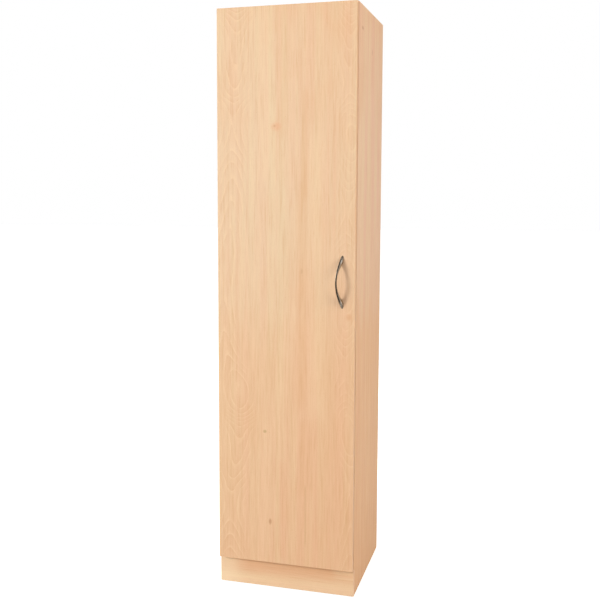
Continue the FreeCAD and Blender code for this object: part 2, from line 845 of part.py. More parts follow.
def door_edging():
    """Four edge bands round the door, with the arris rounded on the front."""
    wall = size.edging_thickness
    half = door_half_width
    low, high = door_bottom_z, door_top_z
    bands = {
        "door_band_left": ((-half, low), (wall - half, high), lambda point: near(point.x, -half)),
        "door_band_right": ((half - wall, low), (half, high), lambda point: near(point.x, half)),
        "door_band_bottom": ((wall - half, low), (half - wall, low + wall), lambda point: near(point.z, low)),
        "door_band_top": ((wall - half, high - wall), (half - wall, high), lambda point: near(point.z, high)),
    }
    members = []
    for name, (start, end, outside) in bands.items():
        body = form_body(name)
        pad(body, "y", door_front_y, door_back_y, rectangle(*start, *end))
        rounded(body, size.door_edge_rounding,
                lambda middle, way: near(middle.y, door_front_y) and outside(middle))
        members.append(body)
    group("door_edging", members)


def door_bumpers():
    """Soft stops on the back of the door, over the edge of the right side panel."""
    form = form_body("door_bumper_form")
    pad(form, "y", Size(0, "0"), size.door_gap - size.bumper_play, (0, 0, size.bumper_radius))
    x = inner_x + size.board_thickness / 2
    ends = (door_bottom_z + size.bumper_end_distance, door_top_z - size.bumper_end_distance)
    copies("door_bumpers", form, [(x, door_back_y, z, "up") for z in ends])


handle_holes_z = [
    size.handle_height - size.handle_hole_spacing / 2,
    size.handle_height + size.handle_hole_spacing / 2,
]


def handle():
    """Crescent bow: level oval sections between two parabolas, leaning to one side, cut off at the door.

    The outer parabola runs through the crown and the tips of the feet, and the inner one through
    the bar's inner side and the inner ends of the feet, so each foot meets the door as a pointed leaf.
    """
    bar = size.handle_bar_radius
    out = size.handle_projection - bar
    crown = hypotenuse(out, size.handle_lean)
    half_length = size.handle_length / 2
    inner_half = half_length - size.handle_foot_length
    lean_angle = math.degrees(math.atan2(float(size.handle_lean), float(out)))
    steep = half_length / inner_half
    half_width = bar * HANDLE_OVAL_SHARE
    widening = size.handle_foot_width / 2 - half_width
    sections = []
    shares = [-share for share in reversed(HANDLE_SECTION_SHARES[1:])] + list(HANDLE_SECTION_SHARES)
    for index, share in enumerate(shares, start=1):
        outer = (crown + bar) * (1 - share * share)
        inner = (crown - bar) * (1 - steep * steep * (share * share))
        centre = (outer + inner) / 2
        oval = part_object("Part::Ellipse", f"handle_section_{index}")
        bind(oval, "MajorRadius", (outer - inner) / 2)
        bind(oval, "MinorRadius", half_width + widening * (share * share))
        turn = FreeCAD.Rotation(FreeCAD.Vector(0, 0, 1), -90 - lean_angle)
        oval.Placement = FreeCAD.Placement(FreeCAD.Vector(), turn)
        place(oval,
              handle_x - centre * size.handle_lean / crown,
              door_front_y - centre * out / crown,
              size.handle_height + half_length * share)
        sections.append(oval)
    bow = part_object("Part::Loft", "handle_bow")
    bow.Sections = sections
    bow.Solid = True
    half = size.handle_length
    behind = strip("handle_behind", (handle_x - half, door_front_y, size.handle_height - half),
                   (handle_x + half, door_front_y + half, size.handle_height + half))
    threads = []
    depth = size.handle_screw_grip + size.bore_end_play
    for index, z in enumerate(handle_holes_z, start=1):
        thread = part_object("Part::Cylinder", f"handle_thread_{index}")
        bind(thread, "Radius", bore(size.handle_screw_radius))
        bind(thread, "Height", depth + size.overrun)
        thread.Placement = FreeCAD.Placement(FreeCAD.Vector(), FACING["back"])
        place(thread, handle_x, door_front_y - depth, z)
        threads.append(thread)
    away = part_object("Part::MultiFuse", "handle_cuts")
    away.Shapes = [behind] + threads
    cut = part_object("Part::Cut", "handle")
    cut.Base = bow
    cut.Tool = away
    NODES["handle"] = cut
    screw = screw_form("handle", size.door_thickness)
    copies("handle_screws", screw, [(handle_x, door_back_y, z, "back") for z in handle_holes_z])


# Hinges, each in its own frame: the origin is on the pin, with the door shut
cup_centre = size.cup_edge_distance + size.cup_radius - size.pivot_inset
cup_floor_y = size.pivot_depth - size.cup_depth + size.cup_floor
flange_y = size.pivot_depth + size.cup_flange
panel_x = -inner_x - pivot_x
web_low = size.neck_reach - size.neck_thickness / 2
web_high = size.neck_reach + size.neck_thickness / 2
screw_line_y = hole_lines_y[0] - pivot_y
arm_end_y = size.arm_start + size.arm_length


def hinge_cup(label, hinge_z):
    """Die-cast cup let into the door, with a slot for the neck, a well and two screw ears."""
    body = new_body(label)
    rim = size.cup_radius + size.cup_rim
    ear_x = cup_centre + size.cup_screw_setback
    ear_z = size.cup_screw_spread / 2
    back = size.pivot_depth
    pad(body, "y", back - size.cup_depth, back, (cup_centre, 0, size.cup_radius))
    pad(body, "y", back, flange_y, (cup_centre, 0, rim))
    ears = size.cup_ear_radius
    pad(body, "y", back, flange_y, (ear_x, -ear_z, ears), (ear_x, ear_z, ears))
    pad(body, "y", back, flange_y, rectangle(ear_x - ears, -ear_z, ear_x + ears, ear_z))
    slot = size.neck_width / 2 + size.neck_side_play
    well = size.cup_well_width / 2
    well_end = cup_centre + size.cup_well_reach
    pocket(body, "y", cup_floor_y, flange_y,
           rectangle(-size.eye_radius - size.eye_play, -slot, size.cup_well_start + size.overrun, slot))
    pocket(body, "y", cup_floor_y, flange_y, rectangle(size.cup_well_start, -well, well_end, well))
    hole = bore(size.cup_screw_radius)
    pocket(body, "y", back, flange_y, (ear_x, -ear_z, hole), (ear_x, ear_z, hole))
    half = size.hinge_pin_length / 2 + size.hinge_pin_end_play
    pocket(body, "z", -half, half, (0, 0, size.hinge_pin_radius + size.hinge_pin_play))
    place(body, pivot_x, pivot_y, hinge_z)


def hinge_pin(label, hinge_z):
    pin = part_object("Part::Cylinder", label)
    bind(pin, "Radius", size.hinge_pin_radius)
    bind(pin, "Height", size.hinge_pin_length)
    place(pin, pivot_x, pivot_y, hinge_z - size.hinge_pin_length / 2)
    NODES[label] = pin


def hinge_arm(label, hinge_z):
    """Bent arm: an eye on the pin, a neck out of the cup and a channel back along the side panel."""
    body = new_body(label)
    half_neck = size.neck_width / 2
    half_arm = size.arm_width / 2
    half_thick = size.neck_thickness / 2
    flare_y = size.arm_start + size.arm_flare
    pad(body, "z", -half_neck, half_neck, [
        (0, -half_thick),
        (web_high, -half_thick),
        (web_high, arm_end_y),
        (web_low, arm_end_y),
        (web_low, half_thick),
        (0, half_thick),
    ])
    rounded(body, size.neck_bend,
            lambda middle, way: abs(way.z) > 0.9 and near(middle.x, web_high) and near(middle.y, -half_thick))
    pad(body, "z", -half_neck, half_neck, (0, 0, size.eye_radius))
    pad(body, "x", web_low, web_high, [
        (size.arm_start, -half_neck),
        (flare_y, -half_arm),
        (arm_end_y, -half_arm),
        (arm_end_y, half_arm),
        (flare_y, half_arm),
        (size.arm_start, half_neck),
    ])
    wall = half_arm - size.arm_wall
    pad(body, "x", web_low - size.arm_flange, web_low,
        rectangle(flare_y, -half_arm, arm_end_y, -wall), rectangle(flare_y, wall, arm_end_y, half_arm))
    rounded(body, size.arm_corner, lambda middle, way: (
        abs(way.x) > 0.9 and near(middle.y, arm_end_y) and near(abs(middle.z), half_arm)))
    pocket(body, "z", -half_neck, half_neck, (0, 0, size.hinge_pin_radius + size.hinge_pin_play))
    hole = bore(size.arm_screw_radius)
    pocket(body, "x", web_low, web_high,
           (screw_line_y, 0, hole), (screw_line_y - size.arm_adjuster_offset, 0, hole))
    place(body, pivot_x, pivot_y, hinge_z)


def hinge_plate(label, hinge_z):
    """Mounting plate: two wings screwed to the side panel and a rib that the arm sits over."""
    body = new_body(label)
    half_wing = size.plate_wing_width / 2
    half_span = size.plate_wing_span / 2
    half_rib = size.arm_width / 2 - size.arm_wall - size.plate_side_play
    pad(body, "x", panel_x, panel_x + size.plate_wing_thickness,
        rectangle(screw_line_y - half_wing, -half_span, screw_line_y + half_wing, half_span))
    rounded(body, size.plate_wing_corner, lambda middle, way: abs(way.x) > 0.9)
    pad(body, "x", panel_x, web_low, rectangle(
        screw_line_y - size.plate_front_reach, -half_rib, screw_line_y + size.plate_rear_reach, half_rib))
    hole = bore(size.plate_screw_radius)
    spread = size.plate_screw_spread / 2
    pocket(body, "x", panel_x, panel_x + size.plate_wing_thickness,
           (screw_line_y, -spread, hole), (screw_line_y, spread, hole))
    thread = bore(size.arm_screw_radius)
    pocket(body, "x", web_low - size.arm_screw_grip - size.bore_end_play, web_low,
           (screw_line_y, 0, thread), (screw_line_y - size.arm_adjuster_offset, 0, thread))
    place(body, pivot_x, pivot_y, hinge_z)


def hinge_springs():
    """A leaf spring on the floor of each well, raised under the neck."""
    form = form_body("hinge_spring_form")
    thick = size.spring_thickness
    top = -size.neck_thickness / 2 - size.spring_gap
    start, end = size.spring_start, size.spring_end
    rise = start + size.spring_seat
    seat = end - size.spring_seat
    half = size.spring_width / 2
    pad(form, "z", -half, half, [
        (start, top - thick),
        (rise, top - thick),
        (seat, cup_floor_y),
        (end, cup_floor_y),
        (end, cup_floor_y + thick),
        (seat, cup_floor_y + thick),
        (rise, top),
        (start, top),
    ])
    copies("hinge_springs", form, [(pivot_x, pivot_y, z, "up") for z in hinge_heights])


def hinge_screws():
    """The screws of the plates, the arms and the cups."""
    plate_face = pivot_x + panel_x + size.plate_wing_thickness
    arm_face = pivot_x + web_high
    ear_x = pivot_x + cup_centre + size.cup_screw_setback
    line_y = hole_lines_y[0]
    plates, arms, cups = [], [], []
    for z in hinge_heights:
        for side in (-0.5, 0.5):
            plates.append((plate_face, line_y, z + size.plate_screw_spread * side, "right"))
            cups.append((ear_x, door_back_y + size.cup_flange, z + size.cup_screw_spread * side, "back"))
        arms.append((arm_face, line_y, z, "right"))
        arms.append((arm_face, line_y - size.arm_adjuster_offset, z, "right"))
    copies("hinge_plate_screws", screw_form("plate", size.plate_wing_thickness), plates)
    copies("hinge_arm_screws", screw_form("arm", size.neck_thickness), arms)
    copies("cup_screws", screw_form("cup", size.cup_flange), cups)


# The whole cabinet
side_panel("side_panel_left", -1)
side_panel("side_panel_right", 1)
fixed_board("top_panel", roof_z, back_y, groove="below")
fixed_board("bottom_panel", size.plinth_height, back_y, groove="above")
fixed_board("fixed_shelf", fixed_shelf_z, shelf_rear_y)
for number, shelf_z in enumerate(shelf_heights(), start=1):
    loose_shelf(f"adjustable_shelf_{number}", shelf_z)
back_inset = size.back_groove_depth - size.back_edge_play
back_panel("back_panel_lower", floor_top_z - back_inset, back_joint_z - size.strip_wall / 2)
back_panel("back_panel_upper", back_joint_z + size.strip_wall / 2, roof_z + back_inset, wall_holes=True)
back_joint_strip()
for name, (low_z, height) in RAILS.items():
    rear_rail(name, low_z, height)
plinth_board()
plinth_blocks()
foot_glides()
edging()
shelf_pins()
cam_joints()
wall_brackets()
door_panel()
door_edging()
door_bumpers()
handle()
for number, hinge_z in enumerate(hinge_heights, start=1):
    hinge_cup(f"hinge_cup_{number}", hinge_z)
    hinge_pin(f"hinge_pin_{number}", hinge_z)
    hinge_arm(f"hinge_arm_{number}", hinge_z)
    hinge_plate(f"hinge_plate_{number}", hinge_z)
hinge_springs()
hinge_screws()
doc.recompute()

# Every feature has worked, every pocket has cut, and every node is a sound solid
for thing in doc.Objects:
    if "Invalid" in thing.State or "Error" in thing.State:
        raise RuntimeError(f"{thing.Label} failed: {thing.State}")
    if thing.TypeId == "PartDesign::Pocket":
        if thing.Shape.Volume >= thing.BaseFeature.Shape.Volume:
            raise RuntimeError(f"{thing.Label} cuts nothing")
os.makedirs("parts", exist_ok=True)
for label, node in NODES.items():
    if node.Shape.isNull() or not node.Shape.isValid():
        raise RuntimeError(f"{label} is not a valid shape")
    node.Shape.exportStep(f"parts/{label}.step")
print(len(NODES), "nodes")
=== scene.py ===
import math

import bmesh
import bpy
from mathutils import Matrix, Vector


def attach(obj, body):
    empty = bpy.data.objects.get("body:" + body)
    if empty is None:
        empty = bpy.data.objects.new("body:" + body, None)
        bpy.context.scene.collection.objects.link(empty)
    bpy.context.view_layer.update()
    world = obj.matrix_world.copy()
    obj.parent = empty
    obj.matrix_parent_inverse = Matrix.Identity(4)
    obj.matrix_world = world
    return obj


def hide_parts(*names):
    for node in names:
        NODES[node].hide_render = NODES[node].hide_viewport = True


# A tall beech-effect kitchen cabinet with one full-height door and a bow handle.
# Everything is in metres in the cabinet's own frame: X to the right, Y to the back, Z up.
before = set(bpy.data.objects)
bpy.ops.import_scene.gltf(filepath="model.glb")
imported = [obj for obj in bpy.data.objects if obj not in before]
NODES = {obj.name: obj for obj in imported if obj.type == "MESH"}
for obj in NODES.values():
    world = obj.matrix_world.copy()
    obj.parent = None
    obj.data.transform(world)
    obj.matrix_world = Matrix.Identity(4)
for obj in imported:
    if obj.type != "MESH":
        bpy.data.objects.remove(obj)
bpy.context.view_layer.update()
MM = 0.001
# Heights between which the figure of an upright board runs, in millimetres
BOARD_LOW, BOARD_HIGH = 0, 2080

# Sockets of Blender's Mix node when it mixes colours
FACTOR, UNDER, OVER = 0, 6, 7


def colour(hex_code):
    """An sRGB hex value as linear red, green, blue and alpha."""
    channels = [int(hex_code[start:start + 2], 16) / 255 for start in (1, 3, 5)]
    linear = [c / 12.92 if c <= 0.04045 else ((c + 0.055) / 1.055) ** 2.4 for c in channels]
    return (*linear, 1)


def feed(tree, node, inputs):
    """Fills a node's inputs, each with a number, a colour, a socket or another node."""
    for key, value in inputs.items():
        if isinstance(value, bpy.types.Node):
            value = value.outputs[0]
        if isinstance(value, bpy.types.NodeSocket):
            tree.links.new(value, node.inputs[key])
        else:
            node.inputs[key].default_value = value


def add(tree, kind, inputs=None, points=(), stops=(), **settings):
    """Adds a node with its inputs and settings, the points of its curve or the stops of its ramp.

    The first two points or stops take the place of the two that a new curve or ramp has.
    """
    node = tree.nodes.new("ShaderNode" + kind)
    for name, value in settings.items():
        setattr(node, name, value)
    feed(tree, node, inputs or {})
    if points:
        curve = node.mapping.curves[0]
        for index, point in enumerate(points):
            if index < 2:
                curve.points[index].location = point
            else:
                curve.points.new(*point)
        node.mapping.update()
    for index, (position, value) in enumerate(stops):
        ramp = node.color_ramp.elements
        stop = ramp[index] if index < 2 else ramp.new(position)
        stop.position = position
        stop.color = value
    return node


def surface(name, **values):
    """A material with its tree and its shader, whose even values are set on the shader."""
    material = bpy.data.materials.new(name)
    material.use_nodes = True
    tree = material.node_tree
    tree.nodes.clear()
    shader = add(tree, "BsdfPrincipled", {key.replace("_", " "): value for key, value in values.items()})
    add(tree, "OutputMaterial", {"Surface": shader})
    return material, tree, shader


def millimetres(tree):
    """The object's own coordinates in millimetres, as a vector and as three sockets."""
    source = add(tree, "TexCoord")
    vector = add(tree, "VectorMath", {0: source.outputs["Object"], "Scale": 1000}, operation="SCALE")
    axes = add(tree, "SeparateXYZ", {0: vector})
    return vector, {letter: axes.outputs[letter] for letter in "XYZ"}


def facing(tree, axis):
    """How squarely the surface faces along an axis of the object, from 0 to 1."""
    source = add(tree, "TexCoord")
    normal = add(tree, "SeparateXYZ", {0: source.outputs["Normal"]})
    return add(tree, "Math", {0: normal.outputs[axis]}, operation="ABSOLUTE")


def patches(tree, vector, cells):
    """Noises by name; each has the size of its patches in millimetres and its detail."""
    noises = {}
    for name, (size, detail) in cells.items():
        scaled = add(tree, "VectorMath", {0: vector, 1: size}, operation="DIVIDE")
        noises[name] = add(tree, "TexNoise", {
            "Vector": scaled, "Scale": 1, "Detail": detail, "Roughness": 0.55,
        })
    return noises


def tint(tree, under, over, share, factor):
    """One colour over another by a share of a factor."""
    strength = add(tree, "Math", {0: factor, 1: share}, operation="MULTIPLY", use_clamp=True)
    mixed = add(tree, "Mix", {FACTOR: strength, UNDER: under, OVER: over}, data_type="RGBA")
    return mixed.outputs[2]


def spot(tree, across, along, middle, half_size, blur):
    """1 inside an oval patch of the board and 0 outside it, softened over a share of its size."""
    offset = add(tree, "CombineXYZ", {"X": across, "Y": along})
    offset = add(tree, "VectorMath", {0: offset, 1: (*middle, 0)}, operation="SUBTRACT")
    offset = add(tree, "VectorMath", {0: offset, 1: (*half_size, 1)}, operation="DIVIDE")
    reach = add(tree, "VectorMath", {0: offset}, operation="LENGTH")
    return add(tree, "MapRange", {
        "Value": reach.outputs["Value"], "From Min": 1 + blur, "From Max": 1 - blur,
    }, interpolation_type="SMOOTHSTEP")


def stripe(tree, across, along, middle, half_width, low, high):
    """1 on the middle of a long stripe of the board, fading to its sides and its ends."""
    fades = []
    for place, centre, half_size, full_share in (
        (across, middle, half_width, 0.3),
        (along, (low + high) / 2, (high - low) / 2, 0.8),
    ):
        offset = add(tree, "Math", {0: place, 1: centre}, operation="SUBTRACT")
        offset = add(tree, "Math", {0: offset}, operation="ABSOLUTE")
        fades.append(add(tree, "MapRange", {
            "Value": offset, "From Min": half_size, "From Max": half_size * full_share,
        }, interpolation_type="SMOOTHSTEP"))
    return add(tree, "Math", {0: fades[0], 1: fades[1]}, operation="MULTIPLY")


def cathedral(tree, across, along, waver, zigzag, broken, path, rings, spacing, reach, strength):
    """Pale and dark growth-ring lines of a flat-sawn board: nested arches on a wandering middle line.

    path gives the middle line and rings the count of rings passed, each as pairs with the height in
    the board; where the count rises the arches point one way, and where it falls the other way.
    """
    share = add(tree, "MapRange", {"Value": along, "From Min": BOARD_LOW, "From Max": BOARD_HIGH})
    height = BOARD_HIGH - BOARD_LOW
    # The curves' values run from 0 to 1 over these spans: millimetres and rings
    middle_span, ring_span = 600, 30
    waver_width, top_radius, zigzag_rings = 18, 20, 0.3
    middle = add(tree, "FloatCurve", {"Value": share}, points=[
        ((z - BOARD_LOW) / height, 0.5 + x / middle_span) for z, x in path])
    middle = add(tree, "Math", {0: middle, 1: 0.5}, operation="SUBTRACT")
    middle = add(tree, "Math", {0: middle, 1: middle_span}, operation="MULTIPLY")
    passed = add(tree, "FloatCurve", {"Value": share}, points=[
        ((z - BOARD_LOW) / height, count / ring_span) for z, count in rings])
    offset = add(tree, "Math", {0: across, 1: middle}, operation="SUBTRACT")
    offset = add(tree, "Math", {0: waver, 1: waver_width, 2: offset}, operation="MULTIPLY_ADD")
    round_top = add(tree, "CombineXYZ", {"X": offset, "Y": top_radius})
    distance = add(tree, "VectorMath", {0: round_top}, operation="LENGTH").outputs["Value"]
    near = add(tree, "MapRange", {
        "Value": distance, "From Min": reach, "From Max": reach * 0.45,
    }, interpolation_type="SMOOTHSTEP")
    count = add(tree, "Math", {0: distance, 1: 1 / spacing}, operation="MULTIPLY")
    count = add(tree, "Math", {0: passed, 1: ring_span, 2: count}, operation="MULTIPLY_ADD")
    count = add(tree, "Math", {0: zigzag, 1: zigzag_rings, 2: count}, operation="MULTIPLY_ADD")
    part = add(tree, "Math", {0: count}, operation="FRACT")
    shown = add(tree, "Math", {0: near, 1: broken}, operation="MULTIPLY")
    shown = add(tree, "Math", {0: shown, 1: strength}, operation="MULTIPLY")
    # Each ring darkens towards its late wood and starts again pale
    lines = []
    for low, high in ((0.30, 0.04), (0.40, 0.96)):
        line = add(tree, "MapRange", {
            "Value": part, "From Min": low, "From Max": high,
        }, interpolation_type="SMOOTHSTEP")
        lines.append(add(tree, "Math", {0: line, 1: shown}, operation="MULTIPLY"))
    return lines


# The two columns of arches on the door, in millimetres: middle line and ring count by height, the
# spacing of the rings, how far they reach from the middle line, and their strength
DOOR_FIGURES = [
    {
        "path": [(0, -205), (2080, -174), (352, -200), (582, -170), (730, -172), (900, -222), (1069, -230),
                 (1319, -203), (1626, -194), (1800, -184), (1981, -177)],
        "rings": [(0, 4), (2080, 0.5), (197, 9), (300, 10.4), (352, 10), (450, 8), (582, 6.5), (722, 1),
                  (860, 3), (1069, 5), (1200, 5.2), (1319, 6), (1500, 8), (1690, 11), (1736, 10.5),
                  (1800, 8), (1900, 6.8), (1981, 6.2)],
        "spacing": 19, "reach": 76, "strength": 1,
    },
    {
        "path": [(0, 236), (2080, 232), (500, 240), (829, 214), (1100, 226), (1319, 217), (1600, 234),
                 (1876, 224)],
        "rings": [(0, 4), (2080, 3), (300, 8), (420, 8.6), (600, 6), (760, 10), (829, 11), (1000, 7),
                  (1160, 6), (1319, 10), (1380, 10.6), (1500, 8), (1640, 5.4), (1800, 10), (1876, 9.4)],
        "spacing": 15, "reach": 62, "strength": 0.7,
    },
]
# Stripes on the door: middle, half width and both ends in millimetres, colour and strength
DOOR_STRIPES = [
    (160, 190, -400, 2500, "#DE9C70", 0.14),
    (62, 24, 640, 1520, "#D39C66", 0.15),
    (66, 17, 350, 660, "#D39C66", 0.10),
    (76, 4, 170, 410, "#B98550", 0.22),
    (68, 17, 1400, 1810, "#D39C66", 0.16),
    (-14, 30, 1600, 2140, "#DBA374", 0.14),
    (112, 44, 600, 1680, "#F0D2AC", 0.24),
    (-78, 32, 1460, 2140, "#F0D2AC", 0.16),
    (-74, 26, -40, 680, "#F0D2AC", 0.16),
    (-8, 20, 100, 500, "#DE9B78", 0.14),
]
# Small knots and flecks on the door: middle and half size in millimetres, colour and strength
DOOR_KNOTS = [
    ((-34, 1669), (17, 13), "#E0946C", 0.28),
    ((-39, 1671), (4, 4), "#B9774A", 0.30),
    ((-74, 588), (6, 5), "#B08F58", 0.50),
    ((-54, 256), (5, 10), "#A8663A", 0.45),
    ((60, 1168), (4, 9), "#A9713F", 0.18),
    ((228, 1014), (9, 12), "#D08A5A", 0.30),
]
# The same on the plinth, whose grain runs level: a pale lower part, a darker upper one, a pale left end
PLINTH_STRIPES = [
    (10, 46, -420, 420, "#F6DDB8", 0.42),
    (98, 62, -210, 200, "#DC9F74", 0.36),
]
PLINTH_KNOTS = [((52, -262), (150, 84), "#F6DDB8", 0.52)]
# Knots on the outside of the right-hand side
SIDE_KNOTS = [
    ((-143, 2003), (16, 6), "#A9602F", 0.38),
    ((44, 1946), (8, 9), "#A9713F", 0.26),
]

# Base colours of the beech board, yellowish and pinkish bands low down and high up: the high pairs are
# paler by painted sheen, and the carcass pairs are warmer than the door's by a painted tint of the light
# on the side panels
DOOR_LOT = (("#E4BF97", "#E5BB96"), ("#E4CCA9", "#E5C6A6"))
CARCASS_PRINT_WITH_PAINTED_TINT = (("#E9B884", "#E6B07E"), ("#EDCEA9", "#ECC3A4"))
# How much paler the print is painted up an upright board, as pairs of height and share: a painted sheen,
# lighter towards the top
PAINTED_SHEEN_BY_HEIGHT = [(0, 0.0), (2080, 0.6), (420, 0.1), (820, 0.25), (1150, 0.8), (1450, 1.0), (1750, 0.95)]


def beech_melamine(name, directions, lot, figures=(), stripes=(), knots=()):
    """Beech-effect melamine on chipboard: a printed decor paper pressed under a satin resin film.

    It gives the eye warm cream wood with pinkish and yellowish bands along the grain, faint ring
    lines, fine fibres and the short brown flecks of beech, all under one even soft gloss. Where a
    board is cut or drilled its chipboard core shows, coarse and dull. directions names the object's
    axes across the grain, along it and through the board.
    """
    material, tree, shader = surface(name, IOR=1.5, Specular_IOR_Level=0.12)
    _, axes = millimetres(tree)
    across, along, depth = (axes[letter] for letter in directions)
    board = add(tree, "CombineXYZ", {"X": across, "Y": along, "Z": depth})
    noise = patches(tree, board, {
        "waver": ((60, 260, 60), 2),
        "zigzag": ((30, 30, 30), 1),
        "broken": ((16, 70, 30), 2),
        "band": ((34, 1100, 40), 2),
        "shade": ((13, 420, 20), 3),
        "line": ((4.2, 120, 16), 3),
        "fibre": ((1.1, 38, 9), 3),
        "fleck": ((0.8, 5.5, 5), 1),
        "cloud": ((120, 240, 80), 2),
    })
    centred = {
        key: add(tree, "Math", {0: noise[key], 1: 0.5}, operation="SUBTRACT")
        for key in ("cloud", "waver", "zigzag")}
    # Base: yellowish and pinkish bands some 50 mm wide, paler further up by a painted sheen, with a cloudy
    # transition
    cloud_height = 520
    height = add(tree, "Math", {
        0: centred["cloud"], 1: cloud_height, 2: axes["Z"],
    }, operation="MULTIPLY_ADD")
    share = add(tree, "MapRange", {"Value": height, "From Min": BOARD_LOW, "From Max": BOARD_HIGH})
    painted_sheen = add(tree, "FloatCurve", {"Value": share}, points=[
        ((z - BOARD_LOW) / (BOARD_HIGH - BOARD_LOW), pale) for z, pale in PAINTED_SHEEN_BY_HEIGHT])
    banding = add(tree, "MapRange", {"Value": noise["band"], "From Min": 0.38, "From Max": 0.62})
    # The paler pair high up is painted sheen, mixed in by height
    bands = [tint(tree, colour(low), colour(high), 1, painted_sheen) for low, high in zip(*lot)]
    shown = tint(tree, *bands, 1, banding)
    for key, low, high, over, share in (
        ("shade", 0.50, 0.80, "#D6A274", 0.20),
        ("shade", 0.50, 0.22, "#F3D5B0", 0.22),
        ("line", 0.52, 0.75, "#CF9A6C", 0.34),
        ("line", 0.48, 0.25, "#F3D5B0", 0.28),
        ("cloud", 0.52, 0.80, "#E0AC80", 0.20),
    ):
        part = add(tree, "MapRange", {"Value": noise[key], "From Min": low, "From Max": high})
        shown = tint(tree, shown, colour(over), share, part)
    for middle, half_width, low, high, over, share in stripes:
        part = stripe(tree, across, along, middle, half_width, low, high)
        shown = tint(tree, shown, colour(over), share, part)
    # Growth rings
    for figure in figures:
        broken = add(tree, "MapRange", {
            "Value": noise["broken"], "From Min": 0.36, "From Max": 0.56, "To Min": 0.15,
        })
        pale, dark = cathedral(tree, across, along, centred["waver"], centred["zigzag"], broken, **figure)
        shown = tint(tree, shown, colour("#F8DDB6"), 0.24, pale)
        shown = tint(tree, shown, colour("#CB9263"), 0.11, dark)
    # Fibres about a millimetre wide, and flecks a few millimetres long
    fibre = add(tree, "MapRange", {"Value": noise["fibre"], "From Min": 0.50, "From Max": 0.78})
    shown = tint(tree, shown, colour("#CF9F70"), 0.26, fibre)
    fleck = add(tree, "MapRange", {"Value": noise["fleck"], "From Min": 0.665, "From Max": 0.73})
    shown = tint(tree, shown, colour("#A9713F"), 0.34, fleck)
    for middle, half_size, over, share in knots:
        part = spot(tree, across, along, middle, half_size, 0.6)
        shown = tint(tree, shown, colour(over), share, part)
    # Core: chips of 2 to 4 mm, seen only on cut faces and in drillings
    vector, _ = millimetres(tree)
    chips = add(tree, "VectorMath", {0: vector, 1: (2.6, 3.2, 2.6)}, operation="DIVIDE")
    chips = add(tree, "TexVoronoi", {"Vector": chips, "Scale": 1, "Randomness": 1})
    chip = add(tree, "SeparateColor", {0: chips.outputs["Color"]})
    core = add(tree, "ValToRGB", {"Fac": chip.outputs[0]}, stops=[
        (0.0, colour("#A67C4E")), (1.0, colour("#DDBE92")), (0.5, colour("#C49C6C"))])
    printed = add(tree, "Math", {0: facing(tree, directions[2]), 1: 0.5}, operation="GREATER_THAN")
    shown = add(tree, "Mix", {FACTOR: printed, UNDER: core, OVER: shown}, data_type="RGBA").outputs[2]
    gloss = add(tree, "MapRange", {"Value": noise["fibre"], "To Min": 0.46, "To Max": 0.56})
    gloss = add(tree, "Mix", {0: printed, 2: 0.92, 3: gloss})
    relief = add(tree, "Mix", {0: printed, 2: chips.outputs["Distance"], 3: noise["fibre"]})
    bump = add(tree, "Bump", {"Height": relief, "Strength": 0.22, "Distance": 0.12 * MM})
    feed(tree, shader, {"Base Color": shown, "Roughness": gloss, "Normal": bump})
    return material


def edge_band(name, limit):
    """Beech-effect ABS edge band: extruded, printed and lacquered plastic.

    It gives the eye an even line round each board, a little glossier than its faces, with straight
    fine grain along the band. Further than limit millimetres from the middle the bands run upright.
    """
    material, tree, shader = surface(name, IOR=1.5, Specular_IOR_Level=0.15, Roughness=0.42)
    vector, axes = millimetres(tree)
    side = add(tree, "Math", {0: axes["X"]}, operation="ABSOLUTE")
    upright = add(tree, "Math", {0: side, 1: limit}, operation="GREATER_THAN")
    shades = []
    for cell in ((300, 1.4, 0.9), (1.4, 1.4, 300)):
        scaled = add(tree, "VectorMath", {0: vector, 1: cell}, operation="DIVIDE")
        grain = add(tree, "TexNoise", {"Vector": scaled, "Scale": 1, "Detail": 3})
        shades.append(add(tree, "ValToRGB", {"Fac": grain}, stops=[
            (0.3, colour("#EFC79C")), (0.7, colour("#E0B184"))]))
    feed(tree, shader, {"Base Color": tint(tree, *shades, 1, upright)})
    return material


def printed_hardboard():
    """Thin hardboard: beech-print paper on its front, raw brown wet-pressed fibre on its back.

    The front gives the eye the same wood with less gloss, and the back a dull brown with the weave
    of the press screen, drawn 2 mm coarse so that it shows.
    """
    material, tree, shader = surface("printed_hardboard", Specular_IOR_Level=0.3)
    vector, axes = millimetres(tree)
    noise = patches(tree, vector, {
        "grain": ((3.2, 60, 420), 3),
        "mottle": ((14, 60, 17), 3),
        "band": ((60, 60, 2000), 1),
    })
    front = add(tree, "ValToRGB", {"Fac": noise["grain"]}, stops=[
        (0.3, colour("#EFCFA6")), (0.75, colour("#DDB486"))])
    front = tint(tree, front, colour("#F5DDBA"), 0.5, noise["band"])
    back = add(tree, "ValToRGB", {"Fac": noise["mottle"]}, stops=[
        (0.3, colour("#8E6038")), (0.7, colour("#A97A4C"))])
    screen = []
    for letter in "XZ":
        turn = add(tree, "Math", {0: axes[letter], 1: math.pi}, operation="MULTIPLY")
        wave = add(tree, "Math", {0: turn}, operation="SINE")
        screen.append(add(tree, "Math", {0: wave, 1: wave}, operation="MULTIPLY"))
    weave = add(tree, "Math", {0: screen[0], 1: screen[1]}, operation="MULTIPLY")
    back = tint(tree, back, colour("#5F3D22"), 0.35, weave)
    normal = add(tree, "SeparateXYZ", {0: add(tree, "TexCoord").outputs["Normal"]})
    rear = add(tree, "Math", {0: normal.outputs["Y"], 1: 0.5}, operation="GREATER_THAN")
    shown = tint(tree, front, back, 1, rear)
    gloss = add(tree, "MapRange", {"Value": rear, "To Min": 0.55, "To Max": 0.85})
    relief = add(tree, "Math", {0: weave, 1: rear}, operation="MULTIPLY")
    bump = add(tree, "Bump", {"Height": relief, "Strength": 0.5, "Distance": 0.3 * MM}, invert=True)
    feed(tree, shader, {"Base Color": shown, "Roughness": gloss, "Normal": bump})
    return material


